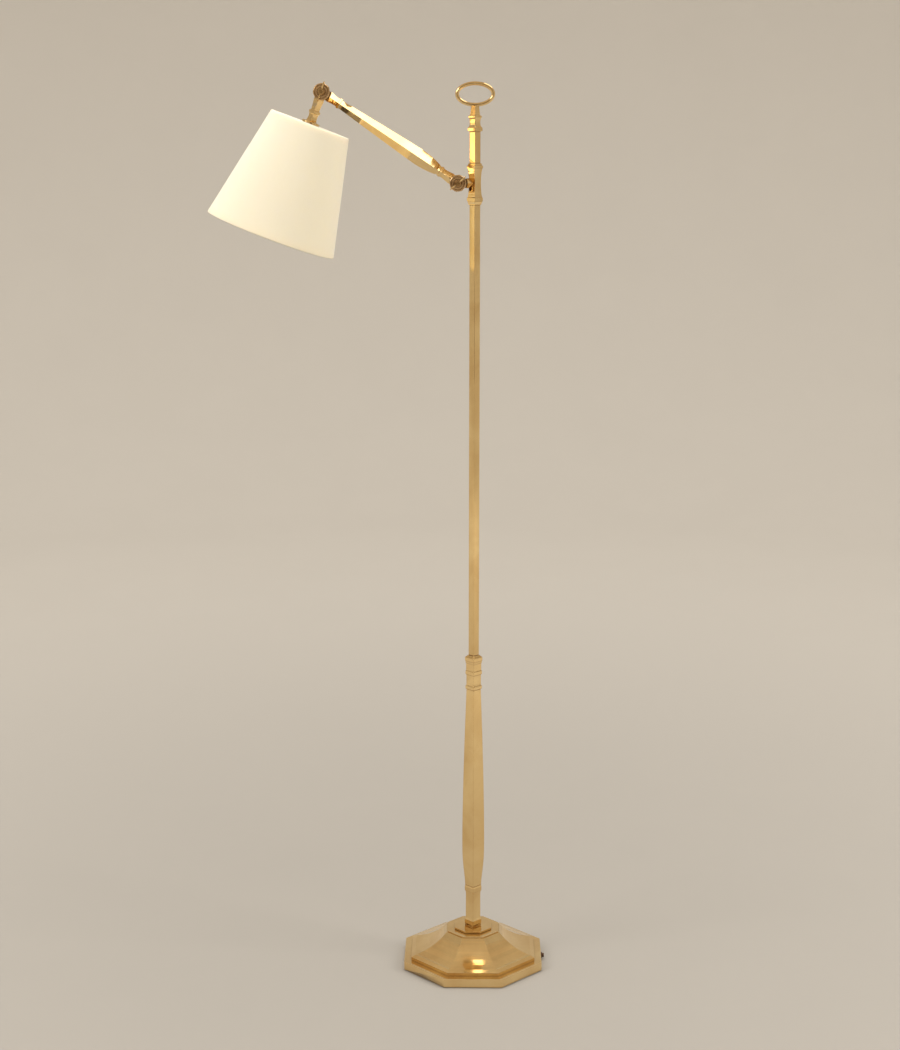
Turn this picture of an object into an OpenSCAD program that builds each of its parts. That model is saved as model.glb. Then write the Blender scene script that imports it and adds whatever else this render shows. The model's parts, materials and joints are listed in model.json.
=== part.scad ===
// Adjustable arm floor lamp: octagonal coved base, square turned column set corner to the front,
// ring handle, arm on two wing-nut knuckles, and a conical fabric shade.
// Millimetres, +Z up. Origin: centre of the base's underside. The arm reaches towards -X and its
// two hinge axes lie along Y. The front of the lamp is -Y.

/* [Base] */
// Half the width across the plinth's flats
plinth_a = 125; // [105:1:150]
// Height of the plinth's top above the floor
plinth_top = 17; // [15:0.5:24]
// Thickness of the felt pad
felt_t = 1.2; // [0.8:0.1:2.5]
// How far the felt lies inside the plinth's edge
felt_inset = 3; // [1:0.5:8]
// Width of the plinth's flat ledge around the cover
plinth_ledge = 13; // [6:1:20]
// Height of the cover's upright riser
riser_h = 6.2; // [3:0.2:9]
// Width of the sloped band above the riser
band_w = 7; // [4:0.5:10]
// Half the width across the plateau's flats
plateau_a = 46.2; // [40:0.5:54]
// Height of the plateau above the floor
plateau_z = 63.2; // [54:0.5:76]
// Height of the lip around the plateau
lip_h = 2.6; // [1:0.1:4]
// Wall of the cast base cover
cover_wall = 3; // [2:0.5:5]
// Half the width across the seat plate's flats
seat_a = 33.5; // [26:0.5:40]
// Thickness of the seat plate
seat_t = 4; // [2:0.5:6]
// Depth of the ledge that the weight bears on, below the plinth's top
weight_ledge = 4; // [3:0.5:6]

/* [Cable gland] */
// Height of the cable entry above the floor
gland_z = 7.5; // [6.5:0.1:9]
// Radius of the gland's flange
gland_r = 5.3; // [4.2:0.1:6]
// How far the gland stands out of the plinth
gland_out = 5.8; // [3:0.2:9]
// Radius of the gland's cable bore
gland_bore = 2.6; // [2.3:0.1:3]

/* [Column] */
// Height of the column's foot, from the seat plate to the baluster
foot_h = 77.8; // [66:0.5:96]
// Height of the baluster
baluster_h = 372; // [300:1:450]
// Largest half diagonal of the baluster
baluster_max = 20.3; // [18:0.1:25]
// Height of the baluster's widest place
baluster_swell = 92; // [70:1:130]
// Height of the three-ring collar
collar_h = 63; // [60:0.5:80]
// Length of the plain pole
pole_len = 792; // [500:1:960]
// Half diagonal of the pole
pole_hd = 9.5; // [9:0.1:12]
// Height of the elbow collar
elbow_h = 70; // [70:0.5:90]
// Length of the upper stem
stem_len = 52.2; // [30:0.5:90]
// Half diagonal of the upper stem
stem_hd = 9.35; // [8.5:0.05:11]
// Height of the stem cap
cap_h = 27; // [27:0.5:36]
// Height of the handle's shank
shank_h = 16; // [12:0.5:25]
// Half width of the ring handle, to the middle of its bar
ring_a = 30.5; // [26:0.5:36]
// Half height of the ring handle, to the middle of its bar
ring_b = 17.6; // [15:0.2:21]
// Radius of the ring handle's bar
ring_bar = 3.3; // [2.5:0.1:4.5]

/* [Tie tube and studs] */
// Outer radius of the threaded tie tube
tube_r = 5; // [4.5:0.1:5.5]
// Bore of the tie tube
tube_bore = 3.4; // [2.6:0.1:3.8]
// Radius of the stem stud
stud_r = 3; // [2.5:0.1:3.5]

/* [Knuckles] */
// Distance from the column's axis to the elbow's hinge axis
elbow_reach = 29; // [28:0.5:40]
// Height of the elbow's hinge axis above the bottom of the elbow collar
elbow_rise = 36.5; // [32:0.5:42]
// Half diagonal of the diamond-section boss
boss_hd = 8.2; // [7.5:0.1:9]
// Width across the flats of a hub
hub_af = 27; // [26:0.5:29]
// Thickness of half a hub
hub_t = 8; // [7.5:0.5:10]
// Radius of the turned front disc
disc_r = 14; // [12:0.5:15]
// Thickness of the turned front disc
disc_t = 2.5; // [2:0.1:4]
// Radius of the knuckle bolt
bolt_r = 3; // [2.5:0.1:3.5]
// Radial running clearance on the bolt
bolt_fit = 0.05; // [0.02:0.01:0.1]
// Distance from the bolt's axis to a wing's tip
wing_r = 17; // [15:0.5:20]
// Thickness of a wing
wing_t = 2.4; // [1.8:0.1:3.2]
// Angle of the elbow's wings above level
elbow_wing_angle = 40; // [0:1:180]
// Angle of the head's wings above level
head_wing_angle = 70; // [0:1:180]

/* [Arm] */
// Distance between the two hinge axes
arm_len = 275; // [230:1:340]
// Angle of the arm above level
arm_angle = 33.4; // [10:0.1:50]
// Largest half diagonal of the arm
arm_max = 13.9; // [12:0.1:17]
// Half diagonal of the arm at the head
arm_min = 7.2; // [7:0.1:9]

/* [Head and shade] */
// Tilt of the shade's axis from plumb
shade_tilt = 20.8; // [0:0.1:40]
// Distance from the head's hinge axis to the shade's top
shade_drop = 56.5; // [54:0.5:80]
// Radius of the shade's top
shade_r1 = 69.5; // [55:0.5:90]
// Radius of the shade's bottom
shade_r2 = 114; // [95:1:140]
// Height of the shade along its axis
shade_h = 198.5; // [160:0.5:240]
// Thickness of the shade's wall
shade_wall = 0.8; // [0.5:0.1:1.5]
// Radius of the shade's wires
wire_r = 1.4; // [1:0.1:2]
// Radius of the gallery disc
gallery_r = 16.2; // [14:0.2:20]
// Thickness of the gallery disc
gallery_t = 5; // [3:0.5:6]
// Radius of the lampholder's body
holder_r = 19.5; // [18:0.5:22]
// Radius of the bulb
bulb_r = 30; // [28:1:32]

/* [Cable] */
// Radius of the internal cable
cable_r = 1.9; // [1.5:0.1:2.1]

/* [Hidden] */
$fn = 96;
cut = 1;               // how far a cutter runs past a face
turn_slab = 70;        // depth of the slabs that make a square turned piece
static_gap = 0.15;     // radial clearance between fixed pieces
cable_gap = 0.4;       // radial clearance around the internal cable
lap_gap = 0.5;         // half the gap between the two hubs of a knuckle
face_gap = 0.1;        // axial running clearance on a knuckle
hub_clear = 2.2;       // clearance of a stub around the other hub's corners

hub_corner = hub_af / 2 / cos(22.5);
lap_r = hub_corner + hub_clear;
lane_r1 = 5.2;         // inner radius of the cable lane in a hub
lane_r2 = 11.2;        // outer radius of the cable lane in a hub
lane_depth = 5;
lane_mid = 3.1;        // distance of the arm's cable from the lap face's middle
lane_far = 3.4;        // the same for the column's and the head's cable
cable_bore = cable_r + cable_gap;

cover_a = plinth_a - plinth_ledge;
riser_z = plinth_top + riser_h;
band_slope = 0.42;
cove_in = [plateau_a, plateau_z];
cove_mid = [(2 * plateau_a + cover_a) / 3 - 1.1, plinth_top + (plateau_z - plinth_top) * 0.56];
cove_out = [cover_a - band_w, riser_z + band_w * band_slope];
// centre of the circle through three points
function circle_at(a, b, c) =
    let(d = 2 * (a[0] * (b[1] - c[1]) + b[0] * (c[1] - a[1]) + c[0] * (a[1] - b[1])),
        na = a * a, nb = b * b, nc = c * c)
    [(na * (b[1] - c[1]) + nb * (c[1] - a[1]) + nc * (a[1] - b[1])) / d,
     (na * (c[0] - b[0]) + nb * (a[0] - c[0]) + nc * (b[0] - a[0])) / d];
cove_c = circle_at(cove_in, cove_mid, cove_out);
cove_r = norm(cove_c - cove_mid);

weight_gap = 0.3;
rebate_a = plinth_a - 21;
ledge_a = rebate_a - 8;
ledge_z = plinth_top - weight_ledge;
pillar_r = 16;
nut_z = gland_z + 4;
nut_h = 5.5;
washer_h = 1.5;
washer_r = 12;
well_z = nut_z + nut_h + washer_h;
tube_low = nut_z - 1;

z_foot = plateau_z + seat_t;
z_bal = z_foot + foot_h;
z_col = z_bal + baluster_h;
z_pole = z_col + collar_h;
z_elb = z_pole + pole_len;
z_stem = z_elb + elbow_h;
z_cap = z_stem + stem_len;
z_hand = z_cap + cap_h;
elbow_z = z_elb + elbow_rise;
tube_top = elbow_z - 16;
tube_hole = tube_r + static_gap;
stud_hole = stud_r + 0.1;
stud_low = elbow_z + 19;
stud_top = z_hand + 11;
ring_z = z_hand + shank_h + ring_b + ring_bar - 1.8;

head_x = -elbow_reach - arm_len * cos(arm_angle);
head_z = elbow_z + arm_len * sin(arm_angle);

disc_top = hub_t + disc_t;
nut_low = disc_top + face_gap * 3;
nut_top = nut_low + 8.5;
bolt_end = nut_top - 1;

spider_w = shade_drop - 0.4;
plate_t = 2.4;
holder_w = spider_w + plate_t;
top_wire = shade_r1 - shade_wall - wire_r - 0.15 + wire_r * (shade_r2 - shade_r1) / shade_h;
body_w = holder_w + 12.4;
body_len = 40;
socket_r = 14.4;
socket_w = body_w + 8;
bulb_cap_w = socket_w + 3.6;
bulb_cap_len = 24.5;
bulb_cap_r = 13.1;
bulb_w = holder_w + 100.4;

// ---- shared shapes ----

// A piece of square section with its corners on the axes; p lists [height, half diagonal] upwards.
module sq_slab(p) {
    n = len(p);
    rotate([90, 0, 0])
        linear_extrude(height = turn_slab, center = true)
            polygon(concat(
                [for (q = p) [q[1] / sqrt(2), q[0]]],
                [for (i = [n - 1:-1:0]) [-p[i][1] / sqrt(2), p[i][0]]]));
}

module sq_turn(p) {
    rotate(45)
        intersection() {
            sq_slab(p);
            rotate(90) sq_slab(p);
        }
}

module oct_block(a, z1, z2) {
    translate([0, 0, z1])
        rotate(22.5)
            cylinder(h = z2 - z1, r = a / cos(22.5), $fn = 8);
}

module rod(r, z1, z2) {
    translate([0, 0, z1]) cylinder(h = z2 - z1, r = r);
}

// A round bar between two points
module bar(a, b, r) {
    v = b - a;
    len_v = norm(v);
    translate(a)
        rotate([0, acos(v[2] / len_v), atan2(v[1], v[0])])
            cylinder(h = len_v, r = r);
}

// Turns a piece made along +Z to lie along +X
module along_x() {
    rotate([0, 90, 0]) children();
}

// Knuckle frames: +X along the limb, +Z towards the front
module knuckle(x, z, turn) {
    translate([x, 0, z])
        rotate([0, turn, 0])
            rotate([90, 0, 0])
                children();
}

module at_boss() {
    knuckle(-elbow_reach, elbow_z, 0) children();
}

module at_arm() {
    knuckle(-elbow_reach, elbow_z, 180 + arm_angle) children();
}

module at_head() {
    knuckle(head_x, head_z, 90 + shade_tilt) children();
}

// ---- base ----

module felt_pad() {
    color([0.16, 0.24, 0.16])
        oct_block(plinth_a - felt_inset, 0, felt_t);
}

module base_plinth() {
    color([0.8, 0.6, 0.3])
        difference() {
            oct_block(plinth_a, felt_t, plinth_top);
            oct_block(rebate_a, felt_t - cut, ledge_z);
            oct_block(ledge_a, ledge_z - cut, plinth_top + cut);
            bar([rebate_a - 5, 0, gland_z], [plinth_a + cut, 0, gland_z], gland_bore + 0.9);
        }
}

module base_weight() {
    color([0.25, 0.25, 0.26])
        difference() {
            union() {
                oct_block(rebate_a - weight_gap, felt_t, ledge_z);
                oct_block(ledge_a - weight_gap, felt_t, riser_z - 2);
                oct_block(plateau_a + 5, felt_t, plinth_top + (plateau_z - plinth_top) * 0.45);
                rod(pillar_r, felt_t, plateau_z - cover_wall);
            }
            rod(washer_r + 1, felt_t - cut, well_z);
            rod(tube_hole, felt_t, plateau_z);
            translate([0, -cable_bore - 0.5, felt_t - cut])
                cube([plinth_a, 2 * cable_bore + 1, gland_z + cable_bore + cut - felt_t]);
        }
}

// The cover's wall, as a closed outline of [half width across flats, height].
cove_steps = 16;
cove_low = atan2(cove_out[1] - cove_c[1], cove_out[0] - cove_c[0]);
cove_high = asin((cove_c[1] - plateau_z + lip_h) / cove_r) - 180;
function cove_point(i, w) =
    let(t = cove_low + (cove_high - cove_low) * i / cove_steps)
    cove_c + (cove_r + w) * [cos(t), sin(t)];
cover_hole = 12;
cover_outline = concat(
    [[cover_hole, plateau_z - cover_wall], [plateau_a - cover_wall, plateau_z - cover_wall]],
    [for (i = [cove_steps:-1:0]) cove_point(i, cover_wall)],
    [[cover_a - cover_wall, riser_z - cover_wall / 2], [cover_a - cover_wall, plinth_top],
     [cover_a, plinth_top], [cover_a, riser_z]],
    [for (i = [0:cove_steps]) cove_point(i, 0)],
    [[plateau_a, plateau_z - lip_h], [plateau_a, plateau_z], [cover_hole, plateau_z]]);

module base_cover() {
    n = len(cover_outline);
    color([0.8, 0.6, 0.3])
        polyhedron(
            points = [for (q = cover_outline) for (k = [0:7])
                [q[0] / cos(22.5) * cos(45 * k + 22.5), q[0] / cos(22.5) * sin(45 * k + 22.5), q[1]]],
            faces = [for (i = [0:n - 1]) for (k = [0:7])
                let(j = (i + 1) % n, m = (k + 1) % 8)
                [i * 8 + k, j * 8 + k, j * 8 + m, i * 8 + m]]);
}

module seat_plate() {
    color([0.8, 0.6, 0.3])
        difference() {
            union() {
                oct_block(seat_a - 0.8, plateau_z, plateau_z + 0.8);
                oct_block(seat_a, plateau_z + 0.8, z_foot);
            }
            rod(tube_hole, plateau_z - cut, z_foot + cut);
        }
}

module cable_gland() {
    color([0.2, 0.1, 0.04])
        translate([plinth_a, 0, gland_z])
            along_x()
                difference() {
                    union() {
                        rod(gland_bore + 0.8, -12, 0);
                        rod(gland_r, 0, gland_out * 0.45);
                        rod(gland_bore + 1.2, 0, gland_out);
                    }
                    rod(gland_bore, -12 - cut, gland_out + cut);
                }
}

// ---- column ----

module tie_tube() {
    color([0.6, 0.6, 0.62])
        difference() {
            rod(tube_r, tube_low, tube_top);
            rod(tube_bore, tube_low - cut, tube_top + cut);
        }
}

module tie_nut() {
    color([0.6, 0.6, 0.62])
        translate([0, 0, nut_z])
            difference() {
                cylinder(h = nut_h, r = 17 / 2 / cos(30), $fn = 6);
                rod(tube_r + 0.05, -cut, nut_h + cut);
            }
}

module tie_washer() {
    color([0.6, 0.6, 0.62])
        difference() {
            rod(washer_r, nut_z + nut_h, well_z);
            rod(tube_hole, nut_z, well_z + cut);
        }
}

module column_foot() {
    color([0.8, 0.6, 0.3])
        translate([0, 0, z_foot])
            difference() {
                sq_turn([[0, 14.7], [3.2, 14.7], [3.2, 15.5], [10.9, 15.5], [12.4, 14.8],
                    [14.5, 14.1], [17.3, 13.6], [foot_h - 18.1, 13.4], [foot_h - 13.8, 13.7],
                    [foot_h - 11.2, 14.5], [foot_h - 11.2, 15.5], [foot_h - 3.4, 15.5],
                    [foot_h - 1.8, 15], [foot_h, 15]]);
                rod(tube_hole, -cut, foot_h + cut);
            }
}

function smooth(s) = s * s * (3 - 2 * s);
bal_low = 15;
bal_top = 13.1;
bal_steps = 10;
bal_shape = concat(
    [for (i = [0:bal_steps]) let(t = i / bal_steps)
        [baluster_swell * t, bal_low + (baluster_max - bal_low) * smooth(1 - pow(1 - t, 1.8))]],
    [for (i = [1:bal_steps + 2]) let(t = i / (bal_steps + 2))
        [baluster_swell + (baluster_h - baluster_swell) * t,
         baluster_max - (baluster_max - bal_top) * pow(t, 1.55)]]);

module baluster() {
    color([0.8, 0.6, 0.3])
        translate([0, 0, z_bal])
            difference() {
                sq_turn(bal_shape);
                rod(tube_hole, -cut, baluster_h + cut);
            }
}

module column_collar() {
    color([0.8, 0.6, 0.3])
        translate([0, 0, z_col])
            difference() {
                sq_turn([[0, 13.9], [1.1, 14.9], [6, 14.9], [7.2, 13.6], [9.8, 13.2],
                    [collar_h - 37, 13.2], [collar_h - 35.3, 13.9], [collar_h - 35.3, 14.9],
                    [collar_h - 29.3, 14.9], [collar_h - 28, 13.8], [collar_h - 15.8, 13.8],
                    [collar_h - 14.7, 14.6], [collar_h - 10.9, 14.9], [collar_h - 10.3, 15.8],
                    [collar_h - 4.4, 15.8], [collar_h - 3.3, 14.9], [collar_h - 1.6, 12.4],
                    [collar_h, 10.6]]);
                rod(tube_hole, -cut, collar_h + cut);
            }
}

module pole() {
    color([0.8, 0.6, 0.3])
        translate([0, 0, z_pole])
            difference() {
                cylinder(h = pole_len, r = pole_hd, $fn = 4);
                rod(tube_hole, -cut, pole_len + cut);
            }
}

// The half-lapped end of a limb: side 1 is the front half of the knuckle, side -1 the rear half.
// Its child is the limb itself, made along +X from the hinge axis.
module lap_end(side) {
    flip = side > 0 ? 0 : 1;
    mirror([0, 0, flip])
        difference() {
            union() {
                difference() {
                    children();
                    rod(lap_r, -2 * hub_t, lap_gap);
                    rod(lap_r, hub_t, 3 * hub_t);
                }
                translate([0, 0, lap_gap])
                    rotate(22.5)
                        cylinder(h = hub_t - lap_gap, r = hub_corner, $fn = 8);
            }
            difference() {
                rod(lane_r2, 0, lap_gap + lane_depth);
                rod(lane_r1, 0, lap_gap + lane_depth + cut);
            }
            rod(bolt_r + bolt_fit, 0, hub_t + cut);
        }
}

boss_bore_end = [-elbow_reach + 8, lane_far, elbow_z];
well_r = cable_bore + 0.7;
column_route = [[plinth_a - 16, 0, gland_z], [4, 0, gland_z], [1.2, 0, gland_z + 1.2],
    [0, 0, gland_z + 4], [0, 0, elbow_z - 3], [-0.6, 0.1, elbow_z - 1.2],
    [-2.4, 0.4, elbow_z], boss_bore_end];

module elbow_collar() {
    color([0.8, 0.6, 0.3])
        difference() {
            union() {
                translate([0, 0, z_elb])
                    sq_turn([[0, 10.6], [2, 11], [5, 12.5], [6.5, 12.5], [6.5, 13.5], [12, 13.5],
                        [13, 12.3], [18, 11.2], [27, 10.4], [elbow_h / 2 + 2, 10.2],
                        [elbow_h - 23.5, 10.4], [elbow_h - 14.5, 11.3], [elbow_h - 8.5, 12.7],
                        [elbow_h - 8.5, 13.6], [elbow_h - 4, 13.6], [elbow_h - 4, 11.6],
                        [elbow_h - 1, 11.6], [elbow_h, 10.2]]);
                at_boss()
                    lap_end(-1)
                        along_x() rotate(45)
                            translate([0, 0, elbow_reach / 2])
                                cube([boss_hd * sqrt(2), boss_hd * sqrt(2), elbow_reach],
                                    center = true);
            }
            rod(tube_hole, z_elb - cut, tube_top);
            rod(well_r, tube_top - cut, elbow_z + well_r);
            bar([0, 0, elbow_z], boss_bore_end, cable_bore);
            rod(stud_hole, stud_low, z_stem + cut);
        }
}

module upper_stem() {
    color([0.8, 0.6, 0.3])
        difference() {
            translate([0, 0, z_stem]) cylinder(h = stem_len, r = stem_hd, $fn = 4);
            rod(stud_hole, z_stem - cut, z_cap + cut);
        }
}

module stem_cap() {
    color([0.8, 0.6, 0.3])
        difference() {
            translate([0, 0, z_cap])
                sq_turn([[0, 10.4], [1, 11.4], [1, 12.9], [6, 12.9], [7.5, 11.5], [9, 10.3],
                    [11.5, 9.4], [15, 9], [cap_h - 9, 9.2], [cap_h - 6.5, 9.7],
                    [cap_h - 5, 10.4], [cap_h - 4, 11.5], [cap_h - 1, 11.5], [cap_h, 9.8]]);
            rod(stud_hole, z_cap - cut, z_hand + cut);
        }
}

module stem_stud() {
    color([0.6, 0.6, 0.62]) rod(stud_r, stud_low, stud_top);
}

// A tube swept along points that lie near one plane; flat is that plane's normal. A loop is closed.
function unit(v) = v / norm(v);
function heading(p, i, loop) =
    let(n = len(p), q = loop ? p[(i + 1) % n] : p[min(i + 1, n - 1)],
        o = loop ? p[(i + n - 1) % n] : p[max(i - 1, 0)])
    unit(q - o);
function tube_ring(c, t, flat, r, sides) =
    let(u = unit(cross(flat, t)), v = cross(t, u))
    [for (k = [0:sides - 1]) c + r * (u * cos(360 * k / sides) + v * sin(360 * k / sides))];

module swept_tube(p, r, sides, flat, loop) {
    n = len(p);
    points = [for (i = [0:n - 1]) each tube_ring(p[i], heading(p, i, loop), flat, r, sides)];
    spans = loop ? n : n - 1;
    walls = [for (i = [0:spans - 1]) for (k = [0:sides - 1])
        let(j = (i + 1) % n, m = (k + 1) % sides)
        [i * sides + k, j * sides + k, j * sides + m, i * sides + m]];
    ends = loop ? [] : [[for (k = [0:sides - 1]) k],
        [for (k = [sides - 1:-1:0]) (n - 1) * sides + k]];
    polyhedron(points = points, faces = concat(walls, ends));
}

ring_steps = 64;
ring_sides = 14;
ring_path = [for (i = [0:ring_steps - 1])
    [ring_a * cos(360 * i / ring_steps), 0, ring_z + ring_b * sin(360 * i / ring_steps)]];

module ring_handle() {
    color([0.8, 0.6, 0.3])
        union() {
            swept_tube(ring_path, ring_bar, ring_sides, [0, 1, 0], true);
            difference() {
                translate([0, 0, z_hand])
                    sq_turn([[0, 8.6], [4, 8], [8, 7.5], [shank_h - 3, 6.9], [shank_h, 6.8]]);
                rod(stud_hole, z_hand - cut, stud_top);
            }
        }
}

module cable(route) {
    swept_tube(route, cable_r, 8, [0, 1, 0], false);
}

module column_cable() {
    color([0.75, 0.68, 0.5]) cable(column_route);
}

// ---- knuckle hardware, in a knuckle's frame ----

module knuckle_bolt() {
    difference() {
        union() {
            rod(bolt_r, -hub_t - 1, bolt_end);
            translate([0, 0, -hub_t]) mirror([0, 0, 1]) {
                rod(8.5, 0, 2.4);
                translate([0, 0, 2.4]) cylinder(h = 1.6, r1 = 8.5, r2 = 6.2);
            }
        }
        translate([-12, -0.7, -hub_t - 4 - cut]) cube([24, 1.4, 1.6 + cut]);
    }
}

module knuckle_washer() {
    difference() {
        rod(hub_af / 2 - 0.4, -lap_gap, lap_gap - face_gap);
        rod(lane_r2 + 0.2, -lap_gap - cut, lap_gap + cut);
    }
}

// Turned disc with a raised rim, a groove and a raised middle
module knuckle_disc() {
    translate([0, 0, hub_t])
        rotate_extrude()
            polygon([[bolt_r + 0.3, 0], [disc_r - 0.3, 0], [disc_r, 0.4], [disc_r, disc_t - 1.1],
                [disc_r - 0.9, disc_t - 0.5], [disc_r - 2.4, disc_t - 0.5],
                [disc_r - 2.8, disc_t - 1.2], [disc_r - 3.8, disc_t - 1.2],
                [disc_r - 4.2, disc_t - 0.4], [disc_r - 6, disc_t - 0.2],
                [disc_r - 6.3, disc_t - 0.9], [disc_r - 7.1, disc_t - 0.9],
                [disc_r - 7.5, disc_t], [bolt_r + 0.3, disc_t]]);
}

module wing_nut(turn) {
    rotate(turn)
        difference() {
            union() {
                translate([0, 0, nut_low]) cylinder(h = 8.5, r1 = 5.8, r2 = 4.6);
                for (side = [0, 1])
                    mirror([side, 0, 0])
                        rotate([90, 0, 0])
                            linear_extrude(height = wing_t, center = true)
                                union() {
                                    polygon([[3.5, nut_low + 0.8], [7, nut_low + 0.8],
                                        [wing_r - 2.8, nut_low + 2.6],
                                        [wing_r - 5.2, nut_low + 9.4], [3.5, nut_low + 7]]);
                                    translate([wing_r - 4.2, nut_low + 6]) circle(r = 4.2);
                                }
            }
            rod(bolt_r + bolt_fit, nut_low - cut, nut_top + cut);
        }
}

module elbow_bolt() {
    color([0.55, 0.42, 0.22]) at_boss() knuckle_bolt();
}

module elbow_friction_washer() {
    color([0.35, 0.2, 0.1]) at_boss() knuckle_washer();
}

module elbow_disc() {
    color([0.8, 0.6, 0.3]) at_arm() knuckle_disc();
}

module elbow_wing_nut() {
    color([0.85, 0.65, 0.35]) at_boss() wing_nut(elbow_wing_angle);
}

module at_head_level() {
    knuckle(head_x, head_z, 0) children();
}

module head_bolt() {
    color([0.55, 0.42, 0.22]) at_head_level() knuckle_bolt();
}

module head_friction_washer() {
    color([0.35, 0.2, 0.1]) at_head_level() knuckle_washer();
}

module head_disc() {
    color([0.8, 0.6, 0.3]) at_head() knuckle_disc();
}

module head_wing_nut() {
    color([0.85, 0.65, 0.35]) at_head_level() wing_nut(head_wing_angle);
}

// ---- arm ----

arm_start = 41;
arm_stop = arm_len - 40;
arm_cable_a = [8, 0, lane_mid];
arm_cable_b = [arm_len - 8, 0, -lane_mid];
spigot_r = 4.6;
spigot_len = 14;
arm_peak = arm_start + 39;
arm_steps = 10;
arm_shape = concat(
    [[arm_start, 9], [arm_start + 8, 10.8], [arm_start + 17, arm_max - 1.5],
     [arm_start + 26, arm_max - 0.6], [arm_peak, arm_max]],
    [for (i = [1:arm_steps]) let(t = i / arm_steps)
        [arm_peak + (arm_stop - arm_peak) * t, arm_max - (arm_max - arm_min) * pow(t, 1.1)]]);

module arm_bore(r) {
    bar(arm_cable_a, arm_cable_b, r);
}

module arm_elbow_end() {
    color([0.8, 0.6, 0.3])
        at_arm()
            difference() {
                union() {
                    lap_end(1)
                        along_x()
                            sq_turn([[0, 9.4], [14, 9.4], [20, 8.5], [26, 7.8], [31, 7.6],
                                [32.5, 8.2], [33, 9.1], [36.5, 9.1], [37.2, 8], [arm_start, 8]]);
                    along_x() rod(spigot_r, arm_start - 1, arm_start + spigot_len);
                }
                arm_bore(cable_bore);
            }
}

module arm_bar() {
    color([0.8, 0.6, 0.3])
        at_arm()
            difference() {
                along_x() sq_turn(arm_shape);
                along_x() rod(spigot_r + static_gap, arm_start - cut, arm_start + spigot_len + 0.5);
                along_x()
                    rod(spigot_r + static_gap, arm_stop - spigot_len - 0.5, arm_stop + cut);
                arm_bore(cable_bore + 0.5);
            }
}

module arm_head_end() {
    color([0.8, 0.6, 0.3])
        at_arm()
            difference() {
                union() {
                    translate([arm_len, 0, 0])
                        lap_end(-1)
                            mirror([1, 0, 0])
                                along_x()
                                    sq_turn([[0, 9], [14, 9], [19, 8.2], [24, 7.4], [30, 7.1],
                                        [32.5, 7.1], [33.2, 8.9], [36.6, 8.9], [37.4, 7.6],
                                        [40, 7.2]]);
                    along_x() rod(spigot_r, arm_stop - spigot_len, arm_stop + 1);
                }
                arm_bore(cable_bore);
            }
}

module arm_cable() {
    color([0.75, 0.68, 0.5]) at_arm() arm_bore(cable_r);
}

// ---- head ----

stem_end = shade_drop - 0.4 - gallery_t;
nipple_low = 41;
nipple_r = 5;
nipple_bore = 3.2;
nipple_end = holder_w + 11;
head_bore_end = [nipple_low + 1, 0, 0];
head_route = [[8, 0, lane_far], head_bore_end, [nipple_end + 6, 0, 0]];

module head_stem() {
    color([0.8, 0.6, 0.3])
        at_head()
            difference() {
                lap_end(1)
                    along_x()
                        sq_turn([[0, 9], [14, 9], [21, 8.1], [27, 7.5], [32.5, 7.3], [33.3, 8.3],
                            [33.8, 9.7], [37.6, 9.7], [38.3, 8.4], [40, 7.9], [44, 7.6],
                            [stem_end - 2, 8], [stem_end, 8.8]]);
                bar(head_route[0], head_bore_end, cable_bore);
                along_x() rod(nipple_r + 0.05, nipple_low, stem_end + cut);
            }
}

module gallery_disc() {
    color([0.8, 0.6, 0.3])
        at_head()
            along_x()
                translate([0, 0, stem_end])
                    rotate_extrude()
                        polygon([[nipple_r + 0.05, 0], [9.5, 0], [10.5, 0.9], [gallery_r - 2, 1.3],
                            [gallery_r - 0.5, 1.8], [gallery_r, 2.6], [gallery_r, 3.4],
                            [gallery_r - 1.2, 3.6], [gallery_r - 1.2, gallery_t],
                            [nipple_r + 0.05, gallery_t]]);
}

module head_cable() {
    color([0.75, 0.68, 0.5]) at_head() cable(head_route);
}

module holder_nipple() {
    color([0.6, 0.6, 0.62])
        at_head()
            along_x()
                difference() {
                    rod(nipple_r, nipple_low, nipple_end);
                    rod(nipple_bore, nipple_low - cut, nipple_end + cut);
                }
}

module ring_wire(r, w) {
    translate([0, 0, w]) rotate_extrude() translate([r, 0]) circle(r = wire_r);
}

module shade_spider() {
    color([0.7, 0.7, 0.7])
        at_head()
            along_x() {
                difference() {
                    rod(15, spider_w, spider_w + plate_t);
                    rod(nipple_r + 0.1, spider_w - cut, spider_w + plate_t + cut);
                }
                for (k = [0:2])
                    rotate(60 + 120 * k)
                        bar([12, 0, spider_w + 1.2], [top_wire, 0, shade_drop + 1.6], 1.1);
                ring_wire(top_wire, shade_drop + 1.6);
            }
}

slope = (shade_r2 - shade_r1) / shade_h;

module shade_bottom_wire() {
    color([0.7, 0.7, 0.7])
        at_head()
            along_x()
                ring_wire(shade_r2 - shade_wall * 1.1 - wire_r - 0.2 - slope * 1.8 - 0.05,
                    shade_drop + shade_h - 1.8);
}

module shade_cover() {
    color([0.95, 0.9, 0.78])
        at_head()
            along_x()
                rotate_extrude()
                    polygon([[shade_r1 - shade_wall, shade_drop], [shade_r1, shade_drop],
                        [shade_r2, shade_drop + shade_h], [shade_r2 - shade_wall, shade_drop + shade_h]]);
}

module holder_cap() {
    color([0.8, 0.6, 0.3])
        at_head()
            along_x()
                rotate_extrude()
                    difference() {
                        polygon([[nipple_r + 0.05, holder_w], [13, holder_w], [16, holder_w + 1.5],
                            [18.2, holder_w + 4.5], [holder_r, holder_w + 8], [holder_r, body_w],
                            [nipple_r + 0.05, body_w]]);
                        translate([0, body_w - 1.4]) square([holder_r - 2, 1.4 + cut]);
                    }
}

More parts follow.
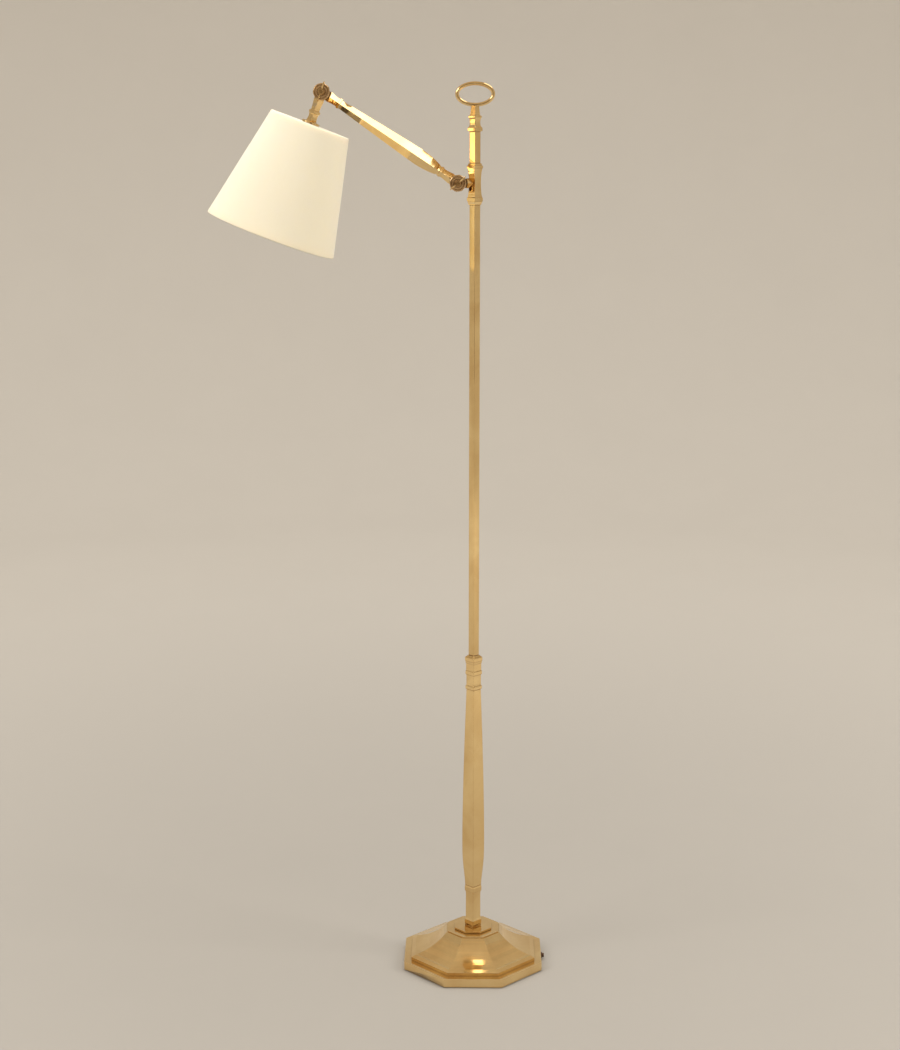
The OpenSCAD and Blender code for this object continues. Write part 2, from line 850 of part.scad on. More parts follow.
module holder_body() {
    color([0.12, 0.08, 0.06])
        at_head()
            along_x()
                difference() {
                    rod(holder_r, body_w, body_w + body_len);
                    rod(socket_r, socket_w, body_w + body_len + cut);
                    rod(cable_bore, body_w - cut, socket_w + cut);
                }
}

module holder_contacts() {
    color([0.75, 0.6, 0.3])
        at_head()
            along_x()
                difference() {
                    union() {
                        translate([-11, -3, socket_w]) cube([22, 6, 0.8]);
                        rod(3.4, socket_w, socket_w + 2.8);
                    }
                    rod(cable_bore, socket_w - cut, socket_w + 1.2);
                }
}

module bulb_cap() {
    color([0.75, 0.75, 0.78])
        at_head()
            along_x()
                union() {
                    rod(bulb_cap_r, bulb_cap_w + 3, bulb_cap_w + bulb_cap_len);
                    translate([0, 0, bulb_cap_w]) cylinder(h = 3, r1 = 4.5, r2 = 9);
                    rod(4, bulb_cap_w - 0.7, bulb_cap_w);
                }
}

neck_w = bulb_cap_w + bulb_cap_len;
module bulb_outline(w) {
    translate([0, bulb_w]) circle(r = bulb_r - w);
    polygon([[0, neck_w], [bulb_cap_r - 0.1 - w, neck_w], [bulb_cap_r + 0.2 - w, neck_w + 10],
        [bulb_r * 0.87 - w, bulb_w - bulb_r * 0.5], [0, bulb_w]]);
}

module bulb_glass() {
    color([1, 0.95, 0.85, 0.5])
        at_head()
            along_x()
                rotate_extrude()
                    intersection() {
                        difference() {
                            bulb_outline(0);
                            bulb_outline(0.9);
                        }
                        translate([0, neck_w]) square([2 * bulb_r, 4 * bulb_r]);
                    }
}

module bulb_mount() {
    color([0.9, 0.9, 0.85])
        at_head()
            along_x()
                union() {
                    rod(5, neck_w, neck_w + 3);
                    rod(2, neck_w, bulb_w - 10);
                    rod(6, bulb_w - 10, bulb_w + 8);
                }
}

felt_pad();
base_plinth();
base_weight();
base_cover();
seat_plate();
cable_gland();
tie_tube();
tie_nut();
tie_washer();
column_foot();
baluster();
column_collar();
pole();
elbow_collar();
upper_stem();
stem_cap();
stem_stud();
ring_handle();
column_cable();
elbow_bolt();
elbow_friction_washer();
elbow_disc();
elbow_wing_nut();
arm_elbow_end();
arm_bar();
arm_head_end();
arm_cable();
head_bolt();
head_friction_washer();
head_disc();
head_wing_nut();
head_stem();
gallery_disc();
head_cable();
holder_nipple();
shade_spider();
shade_bottom_wire();
shade_cover();
holder_cap();
holder_body();
holder_contacts();
bulb_cap();
bulb_glass();
bulb_mount();
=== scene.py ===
import json
import math

import bmesh
import bpy
from mathutils import Matrix, Vector, noise


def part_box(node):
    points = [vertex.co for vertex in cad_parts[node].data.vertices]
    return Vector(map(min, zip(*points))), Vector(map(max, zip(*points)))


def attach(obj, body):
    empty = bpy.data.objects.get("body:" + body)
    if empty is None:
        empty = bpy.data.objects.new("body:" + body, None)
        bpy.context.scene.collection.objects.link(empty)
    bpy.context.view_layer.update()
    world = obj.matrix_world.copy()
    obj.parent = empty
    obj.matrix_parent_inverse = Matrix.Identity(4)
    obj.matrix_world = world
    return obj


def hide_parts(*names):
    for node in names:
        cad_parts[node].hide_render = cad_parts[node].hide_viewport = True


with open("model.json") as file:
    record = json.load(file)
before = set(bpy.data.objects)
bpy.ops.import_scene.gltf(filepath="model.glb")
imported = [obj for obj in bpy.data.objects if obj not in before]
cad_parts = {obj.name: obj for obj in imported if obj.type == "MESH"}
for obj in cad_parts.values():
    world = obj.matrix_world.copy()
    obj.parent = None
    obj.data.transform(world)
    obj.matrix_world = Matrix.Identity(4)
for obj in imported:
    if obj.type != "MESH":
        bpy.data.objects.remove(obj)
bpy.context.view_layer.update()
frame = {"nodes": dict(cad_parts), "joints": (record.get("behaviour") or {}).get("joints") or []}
nodes = frame["nodes"]
scene = bpy.context.scene

# ---------------------------------------------------------------- camera
# The photograph's camera: just above the elbow, tipped down and turned a little left, no shift.
TIP = math.radians(11.11)
TURN = math.radians(0.77)
LENS = 62.5
EYE_DISTANCE = 3.153
EYE_HEIGHT = 1.4356
EYE_X = 0.0

lens = bpy.data.cameras.new("camera")
lens.sensor_fit = "AUTO"
lens.sensor_width = 36
lens.lens = LENS
lens.clip_start, lens.clip_end = 0.05, 60
camera = bpy.data.objects.new("camera", lens)
scene.collection.objects.link(camera)
camera.location = (EYE_X, -EYE_DISTANCE, EYE_HEIGHT)
camera.rotation_euler = (math.pi / 2 - TIP, 0, TURN)
scene.camera = camera
scene.view_settings.view_transform = "Standard"


# ---------------------------------------------------------------- materials
class Look:
    """One procedural material in object space, built around its Principled shader."""

    def __init__(self, name, **sockets):
        self.material = bpy.data.materials.new(name)
        self.material.use_nodes = True
        self.tree = self.material.node_tree
        self.shader = self.tree.nodes["Principled BSDF"]
        for key, value in sockets.items():
            self.shader.inputs[key.replace("_", " ")].default_value = value
        self.place = self.put("ShaderNodeTexCoord", out="Object")

    def put(self, kind, out=0, props=(), **inputs):
        node = self.tree.nodes.new(kind)
        for key, value in dict(props).items():
            setattr(node, key, value)
        for key, value in inputs.items():
            socket = node.inputs[int(key[1:]) if key[1:].isdigit() else key.replace("_", " ")]
            if isinstance(value, bpy.types.NodeSocket):
                self.tree.links.new(value, socket)
            else:
                socket.default_value = value
        return node.outputs[out]

    def link(self, value, socket):
        self.tree.links.new(value, self.shader.inputs[socket])

    def noise(self, vector, scale, detail=3.0, roughness=0.55, distortion=0.0):
        return self.put(
            "ShaderNodeTexNoise",
            Vector=vector,
            Scale=scale,
            Detail=detail,
            Roughness=roughness,
            Distortion=distortion,
        )

    def stretch(self, scale, turn=(0, 0, 0)):
        return self.put(
            "ShaderNodeMapping", Vector=self.place, Rotation=turn, Scale=scale
        )

    def span(self, value, low, high, to_low, to_high):
        return self.put(
            "ShaderNodeMapRange",
            Value=value,
            From_Min=low,
            From_Max=high,
            To_Min=to_low,
            To_Max=to_high,
        )

    def sums(self, kind, a, b=0.0, c=0.0):
        return self.put(
            "ShaderNodeMath", props={"operation": kind}, _0=a, _1=b, _2=c
        )

    def mix(self, factor, a, b, blend="MIX"):
        node = self.tree.nodes.new("ShaderNodeMix")
        node.data_type = "RGBA"
        node.blend_type = blend
        wired = ((node.inputs[0], factor), (node.inputs[6], a), (node.inputs[7], b))
        for socket, value in wired:
            if isinstance(value, bpy.types.NodeSocket):
                self.tree.links.new(value, socket)
            else:
                socket.default_value = (*value, 1) if isinstance(value, tuple) else value
        return node.outputs[2]

    def bump(self, height, strength, distance, under=None):
        inputs = {"Height": height, "Strength": strength, "Distance": distance}
        if under is not None:
            inputs["Normal"] = under
        return self.put("ShaderNodeBump", **inputs)

    def crevice(self, reach):
        """1 in the open, towards 0 deep in a corner."""
        return self.put(
            "ShaderNodeAmbientOcclusion",
            out="AO",
            props={"samples": 6},
            Distance=reach,
        )

    def corner(self, radius):
        """0 on a face, towards 1 on a sharp edge."""
        rounded = self.put("ShaderNodeBevel", props={"samples": 4}, Radius=radius)
        plain = self.put("ShaderNodeNewGeometry", out="Normal")
        dot = self.put(
            "ShaderNodeVectorMath",
            out="Value",
            props={"operation": "DOT_PRODUCT"},
            _0=rounded,
            _1=plain,
        )
        return self.span(dot, 0.999, 0.93, 0.0, 1.0)


def brass(name, turn=(0, 0, 0), deep=(0.80, 0.55, 0.24), bright=(0.95, 0.71, 0.35), rough=0.06,
          edge_wear_and_dark_reflection=(0.98, 0.80, 0.46), edge_share=0.6):
    """Polished, lacquered brass: polishing lines along Z after the turn, soft mottling, painted shade
    darkening the corners, and edges in their own colour: lighter worn brass by default, a painted dark
    reflection on the column."""
    look = Look(
        name, Metallic=1.0, Coat_Weight=0.25, Coat_Roughness=0.06, Coat_IOR=1.5
    )
    lines = look.noise(look.stretch((900, 900, 16), turn), 1.0, 4.0, 0.6)
    coarse = look.noise(look.stretch((160, 160, 7), turn), 1.0, 3.0, 0.5)
    cloud = look.noise(look.place, 11.0, 4.0, 0.6, 0.6)
    fleck = look.noise(look.place, 420.0, 2.0, 0.7)
    colour = look.mix(look.span(cloud, 0.34, 0.66, 0.0, 1.0), deep, bright)
    colour = look.mix(look.span(fleck, 0.66, 0.8, 0.0, 0.35), colour, (0.42, 0.22, 0.06))
    # painted shade: the colour turns dark brown deep in corners
    depth = look.span(look.crevice(0.006), 0.25, 0.85, 0.55, 0.0)
    colour = look.mix(depth, colour, (0.30, 0.13, 0.035))
    # edges take their own colour: lighter worn brass by default; on the column, a painted dark
    # reflection
    edge = look.corner(0.0009)
    colour = look.mix(look.sums("MULTIPLY", edge, edge_share), colour, edge_wear_and_dark_reflection)
    look.link(colour, "Base Color")
    wear = look.sums("MULTIPLY_ADD", lines, 0.10, rough - 0.05)
    wear = look.sums("MULTIPLY_ADD", look.span(cloud, 0.3, 0.7, 0.0, 1.0), 0.05, wear)
    wear = look.sums("MULTIPLY_ADD", edge, -0.04, wear)
    look.link(wear, "Roughness")
    normal = look.bump(lines, 0.06, 0.0001)
    normal = look.bump(coarse, 0.10, 0.00012, normal)
    normal = look.bump(look.noise(look.place, 26.0, 2.0, 0.5), 0.12, 0.0012, normal)
    look.link(normal, "Normal")
    return look.material


def toned(name, base, worn, metallic, rough, grain=600.0, bump=0.15, depth=0.00015, **sockets):
    """A plain made surface: mottled colour, fine grain, worn edges, and painted shade in the hollows.
    """
    look = Look(name, Metallic=metallic, **sockets)
    cloud = look.noise(look.place, 35.0, 4.0, 0.6, 0.4)
    fine = look.noise(look.place, grain, 3.0, 0.6)
    colour = look.mix(look.span(cloud, 0.3, 0.7, 0.0, 0.5), base, worn)
    colour = look.mix(look.sums("MULTIPLY", look.corner(0.0006), 0.6), colour, worn)
    # painted shade: darker in hollows and corners
    painted_shade = look.span(look.crevice(0.004), 0.3, 0.9, 0.5, 0.0)
    colour = look.mix(painted_shade, colour, tuple(v * 0.35 for v in base))
    look.link(colour, "Base Color")
    look.link(look.sums("MULTIPLY_ADD", fine, 0.22, rough - 0.08), "Roughness")
    look.link(look.bump(fine, bump, depth), "Normal")
    return look.material


def rings(name, base, worn, rough, centre, pitch=0.0011):
    """Turned bronze: fine rings round the hinge axis, which lies along Y, with painted shade in the
    hollows.
    """
    look = Look(name, Metallic=1.0, Coat_Weight=0.2, Coat_Roughness=0.08)
    local = look.put(
        "ShaderNodeVectorMath", props={"operation": "SUBTRACT"}, _0=look.place, _1=centre
    )
    flat = look.put(
        "ShaderNodeVectorMath", props={"operation": "MULTIPLY"}, _0=local, _1=(1, 0, 1)
    )
    radius = look.put(
        "ShaderNodeVectorMath", out="Value", props={"operation": "LENGTH"}, _0=flat
    )
    groove = look.sums("SINE", look.sums("MULTIPLY", radius, 2 * math.pi / pitch))
    cloud = look.noise(look.place, 160.0, 4.0, 0.6, 0.5)
    colour = look.mix(look.span(cloud, 0.3, 0.7, 0.0, 1.0), base, worn)
    colour = look.mix(look.sums("MULTIPLY", look.corner(0.0005), 0.7), colour, (0.72, 0.50, 0.25))
    # painted shade: dark in the hollows
    painted_shade = look.span(look.crevice(0.003), 0.3, 0.9, 0.7, 0.0)
    colour = look.mix(painted_shade, colour, tuple(v * 0.2 for v in base))
    look.link(colour, "Base Color")
    look.link(look.sums("MULTIPLY_ADD", cloud, 0.18, rough - 0.07), "Roughness")
    look.link(look.bump(groove, 0.35, 0.00006), "Normal")
    return look.material


def woven(name, thread, shadow, pitch, backing=False):
    """Plain-weave cloth on a cone about local Z: u runs round it, v along it."""
    look = Look(
        name, Roughness=0.78, Sheen_Weight=0.25, Sheen_Roughness=0.4, Specular_IOR_Level=0.25
    )
    if not backing:
        look.shader.inputs["Subsurface Weight"].default_value = 0.35
        look.shader.inputs["Subsurface Radius"].default_value = (0.9, 0.75, 0.5)
        look.shader.inputs["Subsurface Scale"].default_value = 0.004
    split = look.tree.nodes.new("ShaderNodeSeparateXYZ")
    look.tree.links.new(look.place, split.inputs[0])
    x, y, z = split.outputs
    turn = look.sums("ARCTAN2", y, x)
    mean = 0.092
    u = look.sums("MULTIPLY", turn, mean)
    wobble = look.noise(look.stretch((60, 60, 60)), 1.0, 2.0)
    drift = look.span(wobble, 0.0, 1.0, -pitch * 0.6, pitch * 0.6)
    u, v = look.sums("ADD", u, drift), look.sums("ADD", z, drift)
    wave = 2 * math.pi / pitch
    a = look.sums("SINE", look.sums("MULTIPLY", u, wave))
    b = look.sums("SINE", look.sums("MULTIPLY", v, wave))
    over = look.sums("MULTIPLY", a, b)
    bars = look.sums("MAXIMUM", look.sums("ABSOLUTE", a), look.sums("ABSOLUTE", b))
    height = look.sums("MULTIPLY_ADD", over, 0.5, bars)
    where = look.put("ShaderNodeCombineXYZ", X=u, Y=v, Z=0.0)
    slub_v = look.noise(
        look.put("ShaderNodeMapping", Vector=where, Scale=(45, 1500, 1)), 1.0, 3.0, 0.6
    )
    slub_u = look.noise(
        look.put("ShaderNodeMapping", Vector=where, Scale=(1500, 30, 1)), 1.0, 3.0, 0.6
    )
    slub = look.sums("MAXIMUM", slub_v, slub_u)
    tone = look.noise(look.place, 22.0, 3.0)
    colour = look.mix(look.span(height, 0.35, 1.25, 0.30, 0.0), thread, shadow)
    colour = look.mix(look.span(slub, 0.62, 0.78, 0.0, 0.35), colour, shadow)
    colour = look.mix(look.span(tone, 0.3, 0.7, 0.0, 0.22), colour, tuple(c * 0.93 for c in thread))
    look.link(colour, "Base Color")
    normal = look.bump(height, 0.30, 0.00012)
    normal = look.bump(slub, 0.25, 0.0003, normal)
    look.link(normal, "Normal")
    return look.material


def felted(name, light, dark):
    look = Look(
        name, Roughness=0.95, Sheen_Weight=0.6, Sheen_Roughness=0.5, Specular_IOR_Level=0.15
    )
    fibre = look.noise(look.stretch((700, 700, 700)), 1.0, 6.0, 0.7, 1.2)
    lump = look.noise(look.place, 90.0, 3.0)
    look.link(look.mix(look.span(fibre, 0.3, 0.7, 0.0, 1.0), dark, light), "Base Color")
    look.link(look.bump(look.sums("ADD", fibre, lump), 0.6, 0.0006), "Normal")
    return look.material


ARM_ANGLE = math.radians(33.4)
SHADE_TILT = math.radians(20.8)
joint_at = {j["name"]: Vector(j["pos_m"]) for j in frame["joints"]}
elbow, knee = joint_at["elbow"], joint_at["shade_tilt"]

# painted dark reflection: the column's edges are coloured dark brown
column = brass("brass_column", edge_wear_and_dark_reflection=(0.46, 0.27, 0.11), edge_share=0.7)
foot = brass("brass_base", (0, math.pi / 2, 0), (0.82, 0.57, 0.26), (0.96, 0.73, 0.37), 0.07)
limb = brass("brass_arm", (0, math.pi / 2 - ARM_ANGLE, 0))
neck = brass("brass_head", (0, -SHADE_TILT, 0))
loop = brass("brass_ring", (0, 0, 0), rough=0.12)
disc_elbow = rings("bronze_elbow_disc", (0.66, 0.43, 0.21), (0.82, 0.57, 0.31), 0.16, tuple(elbow))
disc_head = rings("bronze_head_disc", (0.66, 0.43, 0.21), (0.82, 0.57, 0.31), 0.16, tuple(knee))
bolts = toned("bronze_bolt", (0.46, 0.28, 0.11), (0.70, 0.48, 0.22), 1.0, 0.24)
wings = brass("brass_wing_nut", (0, 0, 0), (0.64, 0.40, 0.15), (0.84, 0.58, 0.26), 0.15)
iron = toned("iron_weight", (0.055, 0.052, 0.050), (0.13, 0.115, 0.10), 0.6, 0.62, 260.0, 0.7, 0.0006)
steel = toned("steel_zinc", (0.42, 0.42, 0.44), (0.62, 0.61, 0.58), 1.0, 0.30)
wire = toned("wire_coated", (0.80, 0.77, 0.70), (0.66, 0.62, 0.54), 0.0, 0.38)
gland = toned("gland_moulded", (0.060, 0.022, 0.008), (0.12, 0.05, 0.02), 0.0, 0.38, 900.0, 0.2, 0.0001)
bakelite = toned(
    "bakelite", (0.022, 0.014, 0.010), (0.05, 0.032, 0.022), 0.0, 0.24, 300.0, 0.08, 0.0001
)
flex = toned("flex_gold", (0.52, 0.38, 0.17), (0.62, 0.49, 0.26), 0.0, 0.5)
fibre = toned("fibre_washer", (0.16, 0.075, 0.035), (0.26, 0.14, 0.07), 0.0, 0.7)
tin = toned("tinned_cap", (0.62, 0.62, 0.63), (0.76, 0.75, 0.72), 1.0, 0.22)
ceramic = toned("ceramic", (0.86, 0.85, 0.80), (0.74, 0.72, 0.66), 0.0, 0.3)
cloth = woven("shade_weave", (0.93, 0.85, 0.675), (0.74, 0.60, 0.38), 0.00062)
lining = woven("shade_lining", (0.90, 0.86, 0.76), (0.82, 0.76, 0.64), 0.0009, backing=True)
felt = felted("felt_green", (0.045, 0.085, 0.045), (0.012, 0.030, 0.014))

glass = Look("bulb_frosted", Roughness=0.28, Transmission_Weight=0.55, IOR=1.45)
frost = glass.noise(glass.place, 500.0, 3.0)
milk = glass.mix(glass.span(frost, 0.3, 0.7, 0.0, 1.0), (0.93, 0.92, 0.88), (0.99, 0.98, 0.95))
glass.link(milk, "Base Color")
glass.link(glass.bump(frost, 0.1, 0.0001), "Normal")

FINISH = {
    "base_plinth": foot, "base_cover": foot, "seat_plate": foot, "base_weight": iron,
    "cable_gland": gland, "tie_tube": steel, "tie_nut": steel, "tie_washer": steel,
    "column_foot": column, "baluster": column, "column_collar": column, "pole": column,
    "elbow_collar": column, "upper_stem": column, "stem_cap": column, "stem_stud": steel,
    "ring_handle": loop, "column_cable": flex, "elbow_bolt": bolts,
    "elbow_friction_washer": fibre, "elbow_disc": disc_elbow, "elbow_wing_nut": wings,
    "arm_elbow_end": limb, "arm_bar": limb, "arm_head_end": limb, "arm_cable": flex,
    "head_bolt": bolts, "head_friction_washer": fibre, "head_disc": disc_head,
    "head_wing_nut": wings, "head_stem": neck, "gallery_disc": neck, "head_cable": flex,
    "holder_nipple": steel, "shade_spider": wire, "shade_bottom_wire": wire,
    "holder_cap": neck, "holder_body": bakelite, "holder_contacts": bolts, "bulb_cap": tin,
    "bulb_glass": glass.material, "bulb_mount": ceramic, "felt_pad": felt, "shade_cover": cloth,
}  # fmt: skip

# Rounded edges: (bevel width in metres, least angle between faces in degrees). A width of 0 only welds.
EDGES = {
    "base_plinth": (0.0009, 30), "base_cover": (0.0, 14), "seat_plate": (0.0006, 30),
    "column_foot": (0.0005, 30), "baluster": (0.0009, 30), "column_collar": (0.0005, 30),
    "pole": (0.0009, 30), "upper_stem": (0.0009, 30),
    "stem_cap": (0.0005, 30), "arm_elbow_end": (0.0005, 30), "arm_bar": (0.0008, 30),
    "arm_head_end": (0.0005, 30), "head_stem": (0.0005, 30), "elbow_wing_nut": (0.0004, 30),
    "head_wing_nut": (0.0004, 30), "ring_handle": (0.0, 40), "base_weight": (0.0012, 30),
}  # fmt: skip


def round_edges(obj, width, angle):
    """Rounds the sharp edges with modifiers, so that the mesh itself stays as it is."""
    weld = obj.modifiers.new("weld", "WELD")
    weld.merge_threshold = 0.000002
    if width:
        edge = obj.modifiers.new("edges", "BEVEL")
        edge.width, edge.segments = width, 3
        edge.limit_method, edge.angle_limit = "ANGLE", math.radians(angle)
        edge.harden_normals = False
        edge.use_clamp_overlap = True
        edge.miter_outer = "MITER_ARC"


for name, obj in nodes.items():
    obj.data.materials.clear()
    obj.data.materials.append(FINISH[name])
    if name in EDGES:
        round_edges(obj, *EDGES[name])


# ---------------------------------------------------------------- the cloth shade
AXIS = Vector((-math.sin(SHADE_TILT), 0, -math.cos(SHADE_TILT)))
SIDE = Vector((0, 1, 0))
OUT = SIDE.cross(AXIS)
ROUND = 224  # steps round the shade


def cone_frame():
    """Local X out along the arm's plane, local Y to the back, local Z down the shade's axis."""
    return Matrix(
        (
            (OUT.x, SIDE.x, AXIS.x, knee.x),
            (OUT.y, SIDE.y, AXIS.y, knee.y),
            (OUT.z, SIDE.z, AXIS.z, knee.z),
            (0, 0, 0, 1),
        )
    )


TOP_W, TOP_R = 0.0565, 0.0695
LOW_W, LOW_R = 0.255, 0.114
WALL = 0.0008
LIP = 0.0016  # height of the roll over each wire
ROLL_IN, ROLL_R = 0.0018, 0.0017  # the roll's middle, in from the cone, and its radius
SEAM = math.radians(118)  # the joint of the cloth, at the back


def cone_radius(w):
    return TOP_R + (LOW_R - TOP_R) * (w - TOP_W) / (LOW_W - TOP_W)


def shade_profile():
    """The cloth's section as (radius, distance down the axis): down the outside, over the low
    wire, up the inside, over the top wire."""
    p = []
    rows = 34
    for i in range(rows + 1):
        w = TOP_W + LIP + (LOW_W - TOP_W - 2 * LIP) * i / rows
        p.append((cone_radius(w), w))
    for t in (30, 60, 90, 120, 150):
        a = math.radians(t)
        r = cone_radius(LOW_W) - ROLL_IN + ROLL_R * math.cos(a)
        p.append((r, LOW_W - LIP + LIP * math.sin(a)))
    p.append((cone_radius(LOW_W) - 0.0040, LOW_W - 0.0028))
    p.append((cone_radius(LOW_W) - 0.0046, LOW_W - 0.0060))
    p.append((cone_radius(LOW_W - 0.011) - WALL - 0.0007, LOW_W - 0.0110))
    p.append((cone_radius(LOW_W - 0.0116) - WALL, LOW_W - 0.0114))
    for i in range(1, 11):
        w = LOW_W - 0.0116 + (TOP_W + 0.0116 - LOW_W + 0.0116) * i / 11
        p.append((cone_radius(w) - WALL, w))
    p.append((cone_radius(TOP_W + 0.0116) - WALL, TOP_W + 0.0112))
    p.append((cone_radius(TOP_W + 0.011) - WALL - 0.0007, TOP_W + 0.0108))
    p.append((cone_radius(TOP_W) - 0.0043, TOP_W + 0.0048))
    p.append((cone_radius(TOP_W) - 0.0040, TOP_W + 0.0024))
    for t in (210, 240, 270, 300, 330):
        a = math.radians(t)
        r = cone_radius(TOP_W) - ROLL_IN + ROLL_R * math.cos(a)
        p.append((r, TOP_W + LIP + LIP * math.sin(a)))
    return p, rows


def build_shade():
    profile, rows = shade_profile()
    n = len(profile)
    bm = bmesh.new()
    grid = []
    for k in range(ROUND):
        turn = 2 * math.pi * k / ROUND
        away = (turn - SEAM + math.pi) % (2 * math.pi) - math.pi
        ring = []
        for i, (r, w) in enumerate(profile):
            outer = i <= rows
            where = Vector((math.cos(turn) * 2.2, math.sin(turn) * 2.2, w * 16))
            swell = 0.00022 * noise.noise(where)
            if outer and 0 <= away < math.radians(6.5):
                # the lapped edge of the cloth
                swell += 0.00045 * min(1.0, away / math.radians(1.2))
            fade = 1 if outer else 0.4
            radius = r + swell * fade
            ring.append(bm.verts.new((radius * math.cos(turn), radius * math.sin(turn), w)))
        grid.append(ring)
    for k in range(ROUND):
        a, b = grid[k], grid[(k + 1) % ROUND]
        for i in range(n):
            j = (i + 1) % n
            face = bm.faces.new((a[i], a[j], b[j], b[i]))
            face.smooth = True
            face.material_index = 1 if rows + 9 <= i < n - 9 else 0
    bmesh.ops.recalc_face_normals(bm, faces=bm.faces)
    mesh = bpy.data.meshes.new("shade_cloth")
    bm.to_mesh(mesh)
    bm.free()
    mesh.materials.append(cloth)
    mesh.materials.append(lining)
    obj = bpy.data.objects.new("shade_cloth", mesh)
    scene.collection.objects.link(obj)
    obj.matrix_world = cone_frame()
    return obj


shade = build_shade()
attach(shade, "head")
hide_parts("shade_cover")


# ---------------------------------------------------------------- the felt under the base
def build_felt():
    low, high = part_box("felt_pad")
    half, thick = high.x, high.z - low.z
    bm = bmesh.new()
    layers = [
        (half - 0.0005, 0.0), (half, thick * 0.25), (half - 0.0001, thick * 0.7), (half - 0.0006, thick)
    ]  # fmt: skip
    per = 14  # points along each of the eight sides
    rings_ = []
    for a, z in layers:
        ring = []
        for k in range(8):
            a0, a1 = math.radians(45 * k - 22.5), math.radians(45 * k + 22.5)
            p, q = (Vector((math.cos(t), math.sin(t), 0)) for t in (a0, a1))
            for i in range(per):
                d = p.lerp(q, i / per) * (a / math.cos(math.radians(22.5)))
                rough = 0.00025 * noise.noise(d * 420)
                ring.append(bm.verts.new((d.x * (1 + rough / a), d.y * (1 + rough / a), z)))
        rings_.append(ring)
    m = len(rings_[0])
    for r in range(len(rings_) - 1):
        for k in range(m):
            j = (k + 1) % m
            bm.faces.new((rings_[r][k], rings_[r][j], rings_[r + 1][j], rings_[r + 1][k]))
    for ring, z, flip in ((rings_[0], 0.0, True), (rings_[-1], thick, False)):
        last = ring
        for share in (0.93, 0.8, 0.6, 0.4, 0.2):
            inner = []
            for v in ring:
                lift = 0.00005 * (1 + noise.noise(Vector((v.co.x, v.co.y, 0)) * share * 60))
                low_z = z + lift if flip else z
                inner.append(bm.verts.new((v.co.x * share, v.co.y * share, low_z)))
            for k in range(m):
                j = (k + 1) % m
                bm.faces.new((last[k], last[j], inner[j], inner[k]))
            last = inner
        bm.faces.new(last)
    bmesh.ops.recalc_face_normals(bm, faces=bm.faces)
    mesh = bpy.data.meshes.new("base_felt")
    bm.to_mesh(mesh)
    bm.free()
    mesh.materials.append(felt)
    obj = bpy.data.objects.new("base_felt", mesh)
    scene.collection.objects.link(obj)
    return obj


pad = build_felt()
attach(pad, "stand")
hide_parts("felt_pad")

# ---------------------------------------------------------------- studio
paper = Look("studio_paper", Roughness=0.92, Specular_IOR_Level=0.2)
grain = paper.noise(paper.place, 3.0, 3.0)
paper_split = paper.tree.nodes.new("ShaderNodeSeparateXYZ")
paper.tree.links.new(paper.place, paper_split.inputs[0])
x_squared = paper.sums("POWER", paper_split.outputs["X"], 2.0)
y_squared = paper.sums("POWER", paper_split.outputs["Y"], 2.0)
reach = paper.sums("SQRT", paper.sums("ADD", x_squared, y_squared))
NEAR, FAR = 0.3, 4.0  # painted shade and light: the paper is darker round the lamp and paler from this far out, evening out the light on it
spread = paper.put(
    "ShaderNodeMapRange",
    props={"interpolation_type": "SMOOTHSTEP"},
    Value=reach,
    From_Min=NEAR,
    From_Max=FAR,
)
tone = paper.mix(spread, (0.385, 0.358, 0.322), (0.655, 0.612, 0.55))
paper.link(paper.mix(paper.span(grain, 0.3, 0.7, 0.0, 0.05), tone, (0.5, 0.46, 0.41)), "Base Color")


def studio_bowl():
    """A seamless studio: a round floor that sweeps up into a wall all round."""
    profile = [(0.0, 0.0), (0.8, 0.0), (2.0, 0.0), (3.4, 0.0)]
    flat_r, sweep, top = 3.8, 2.4, 6.0
    for i in range(1, 15):
        t = math.radians(90 * i / 14)
        profile.append((flat_r + sweep * math.sin(t), sweep - sweep * math.cos(t)))
    profile += [(flat_r + sweep, 4.2), (flat_r + sweep, top)]
    bm = bmesh.new()
    steps = 96
    turns = [2 * math.pi * k / steps for k in range(steps)]
    grid = [
        [bm.verts.new((r * math.cos(t), r * math.sin(t), z)) for t in turns]
        for r, z in profile[1:]
    ]
    middle = bm.verts.new((0, 0, 0))
    for k in range(steps):
        j = (k + 1) % steps
        bm.faces.new((middle, grid[0][k], grid[0][j]))
        for a, b in zip(grid, grid[1:]):
            bm.faces.new((a[k], b[k], b[j], a[j]))
    for f in bm.faces:
        f.smooth = True
    mesh = bpy.data.meshes.new("studio")
    bm.to_mesh(mesh)
    bm.free()
    mesh.materials.append(paper.material)
    obj = bpy.data.objects.new("studio", mesh)
    scene.collection.objects.link(obj)


studio_bowl()


def softbox(name, place, aim, size, power):
    """A soft light that reflections don't see; the panels below stand in for it there."""
    data = bpy.data.lights.new(name, "AREA")
    data.shape, data.size, data.size_y = "RECTANGLE", size[0], size[1]
    data.energy, data.color = power, (1, 0.97, 0.92)
    obj = bpy.data.objects.new(name, data)
    scene.collection.objects.link(obj)
    obj.location = place
    obj.rotation_euler = (Vector(aim) - Vector(place)).to_track_quat("-Z", "Y").to_euler()
    obj.visible_camera = False
    obj.visible_glossy = False


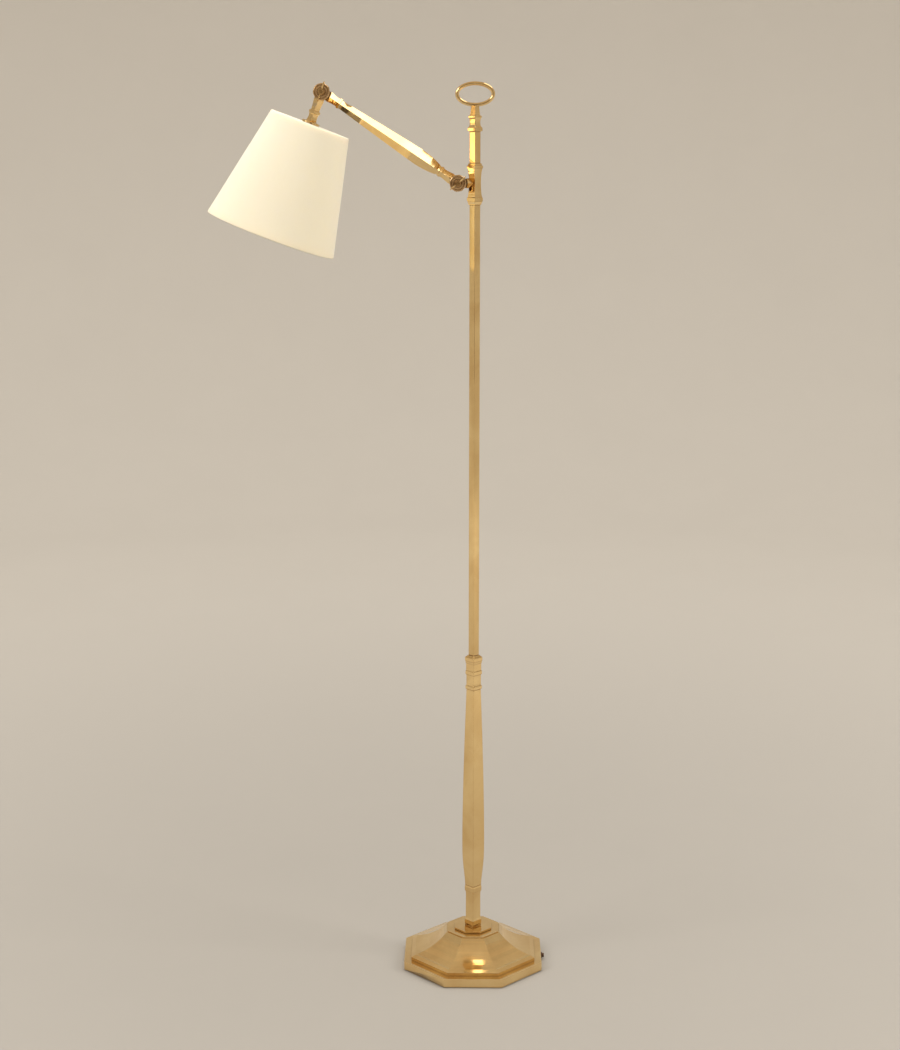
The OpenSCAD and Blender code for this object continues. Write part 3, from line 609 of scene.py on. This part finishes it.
softbox("key", (-2.7, -1.7, 2.6), (-0.1, 0, 1.1), (1.5, 1.9), 48)
softbox("fill", (2.9, -0.9, 2.3), (0, 0, 1.0), (1.2, 1.8), 45)
softbox("top", (0.1, 0.2, 4.2), (0, 0, 0), (3.0, 3.0), 76)


def flag(name, place, aim, size, colour, glow=0.0):
    """A studio panel that only reflections see: a dark cloth, or a lit diffuser where it glows."""
    look = Look(name, Roughness=1.0)
    look.shader.inputs["Emission Color"].default_value = (*colour, 1)
    look.shader.inputs["Emission Strength"].default_value = glow
    cloud = look.noise(look.place, 1.2, 2.0)
    paler = tuple(c * 1.25 for c in colour)
    look.link(look.mix(look.span(cloud, 0.3, 0.7, 0.0, 1.0), colour, paler), "Base Color")
    bm = bmesh.new()
    steps = 8
    w, h = size
    grid = [
        [bm.verts.new((w * (i / steps - 0.5), h * (j / steps - 0.5), 0)) for j in range(steps + 1)]
        for i in range(steps + 1)
    ]
    for i in range(steps):
        for j in range(steps):
            bm.faces.new((grid[i][j], grid[i + 1][j], grid[i + 1][j + 1], grid[i][j + 1]))
    mesh = bpy.data.meshes.new(name)
    bm.to_mesh(mesh)
    bm.free()
    mesh.materials.append(look.material)
    obj = bpy.data.objects.new(name, mesh)
    scene.collection.objects.link(obj)
    obj.location = place
    obj.rotation_euler = (Vector(aim) - Vector(place)).to_track_quat("Z", "Y").to_euler()
    obj.visible_camera = False
    obj.visible_diffuse = False
    obj.visible_shadow = False


flag("dark_side", (-0.1, -4.6, 1.3), (0, 0, 1.3), (3.6, 0.95), (0.16, 0.11, 0.075))
flag("left_panel", (-2.35, -1.75, 2.95), (-0.1, 0, 1.45), (1.5, 1.2), (1.0, 0.97, 0.90), 2.6)
flag("right_panel", (1.25, 0.0, 3.6), (-0.15, 0, 1.5), (1.5, 1.2), (1.0, 0.97, 0.90), 2.3)
flag("ceiling", (0, 0, 5.2), (0, 0, 0), (11, 11), (0.56, 0.50, 0.42), 0.26)

world = bpy.data.worlds.new("studio_air")
world.use_nodes = True
world.node_tree.nodes["Background"].inputs["Color"].default_value = (1.0, 0.98, 0.945, 1)
world.node_tree.nodes["Background"].inputs["Strength"].default_value = 0.95
scene.world = world
